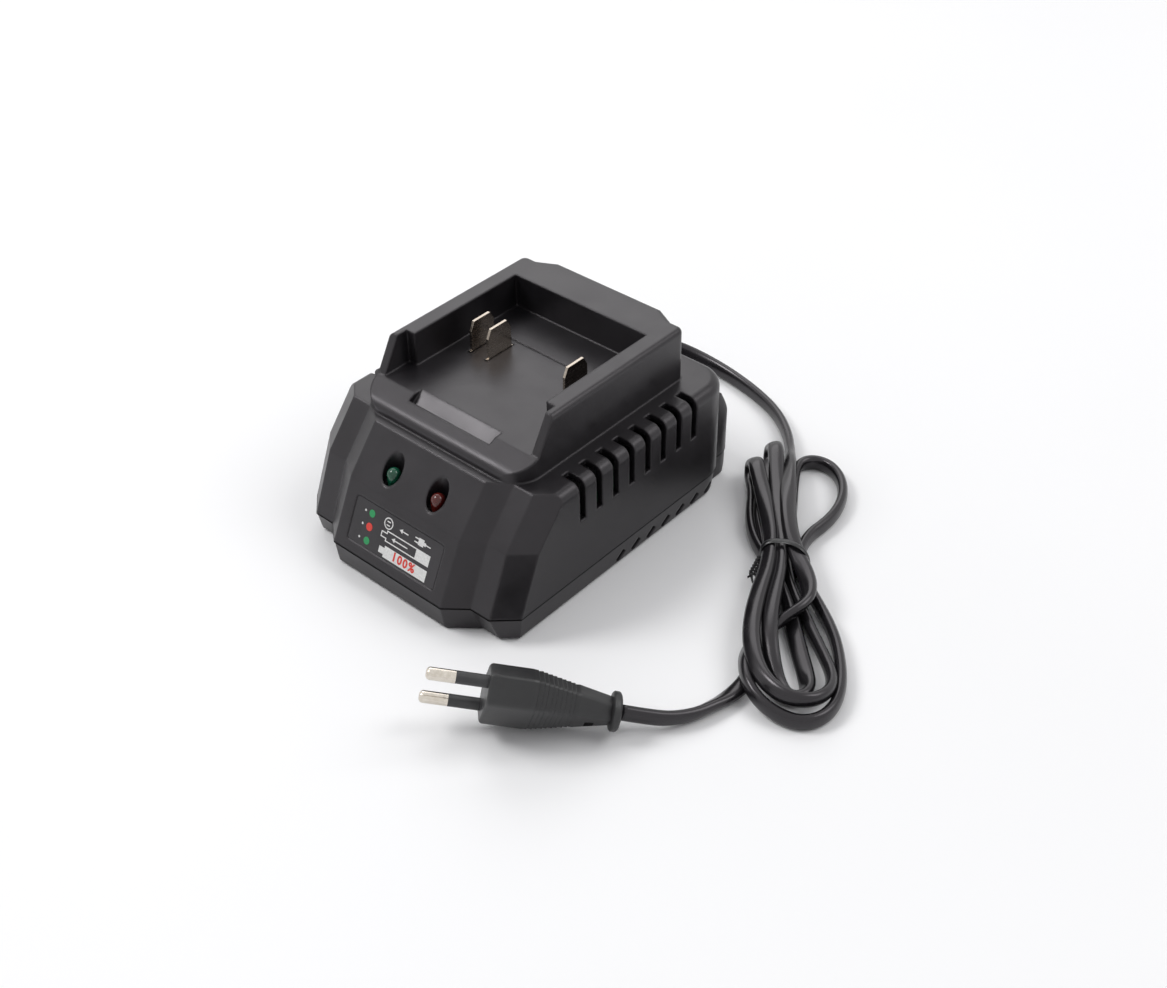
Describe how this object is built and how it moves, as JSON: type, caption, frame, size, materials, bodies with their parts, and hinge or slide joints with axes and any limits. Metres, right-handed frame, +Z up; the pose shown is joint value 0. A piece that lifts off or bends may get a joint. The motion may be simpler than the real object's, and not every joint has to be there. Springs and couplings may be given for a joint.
{
  "type": "power tool battery charger",
  "caption": "Charger for slide-on power tool batteries: faceted black case with a raised open dock, contact blades, lamps, side vents, and a mains lead tied in a hank with a two-pin plug",
  "frame": {"origin": "On the table, under the middle of the housing (measured without the cord, hank and plug); the rubber feet stand at z = 0.", "axes": "+Z is up. -Y is the front, with the lamps and the label, where the battery slides in from. +X is the right side, where the tied mains lead and the plug lie."},
  "size_m": [0.2001, 0.2161, 0.069],
  "materials": {
    "black_shell": "fine texture",
    "label_black": "smooth film",
    "label_grey": "smooth film",
    "rubber_black": "matt",
    "screw_steel": "zinc plated",
    "board_green": "solder mask",
    "fuse_glass": "clear",
    "capacitor_yellow": "smooth",
    "capacitor_blue": "smooth",
    "ferrite_black": "ferrite, matt",
    "copper": "enamelled copper wire",
    "package_black": "moulded",
    "package_white": "moulded",
    "can_black": "sleeve",
    "heatsink_aluminium": "sheet",
    "bobbin_plastic": "moulded",
    "tape_yellow": "polyester tape",
    "lamp_green": "tinted epoxy, unlit",
    "lamp_red": "tinted epoxy, unlit",
    "block_plastic": "moulded",
    "blade_nickel": "nickel-plated brass",
    "wire_black": "PVC",
    "wire_white": "PVC",
    "wire_red": "PVC",
    "wire_brown": "PVC",
    "wire_blue": "PVC",
    "cord_black": "PVC, soft shine",
    "tie_black": "plastic over wire",
    "pin_nickel": "nickel-plated brass",
    "sleeve_black": "moulded"
  },
  "bodies": {
    "root": {"board_screws": "screw_steel", "bottom_housing": "black_shell", "bridge_rectifier": "package_black", "bulk_capacitor": "can_black", "choke_core": "ferrite_black", "choke_winding": "copper", "controller_chip": "package_black", "cord_clamp": "block_plastic", "cord_clamp_screws": "screw_steel", "cord_hank": "cord_black", "cord_lead": "cord_black", "cord_tail": "cord_black", "green_lamp": "lamp_green", "housing_screws": "screw_steel", "indicator_label": "label_black", "lamp_spacers": "bobbin_plastic", "live_wire": "wire_brown", "main_board": "board_green", "mains_fuse": "fuse_glass", "negative_blade": "blade_nickel", "negative_wire": "wire_black", "neutral_wire": "wire_blue", "opto_coupler": "package_white", "output_capacitors": "can_black", "output_diode": "package_black", "output_heatsink": "heatsink_aluminium", "plug_body": "cord_black", "plug_pin_sleeves": "sleeve_black", "plug_pins": "pin_nickel", "positive_blade": "blade_nickel", "positive_wire": "wire_red", "primary_heatsink": "heatsink_aluminium", "rating_label": "label_grey", "red_lamp": "lamp_red", "rubber_feet": "rubber_black", "sheath_end": "cord_black", "signal_blade": "blade_nickel", "signal_wire": "wire_white", "strain_relief": "cord_black", "suppression_capacitor": "capacitor_yellow", "switching_transistor": "package_black", "terminal_block": "block_plastic", "terminal_block_screws": "screw_steel", "top_housing": "black_shell", "transformer_bobbin": "bobbin_plastic", "transformer_core": "ferrite_black", "transformer_winding": "tape_yellow", "twist_tie": "tie_black", "y_capacitor": "capacitor_blue"}
  },
  "joints": []
}
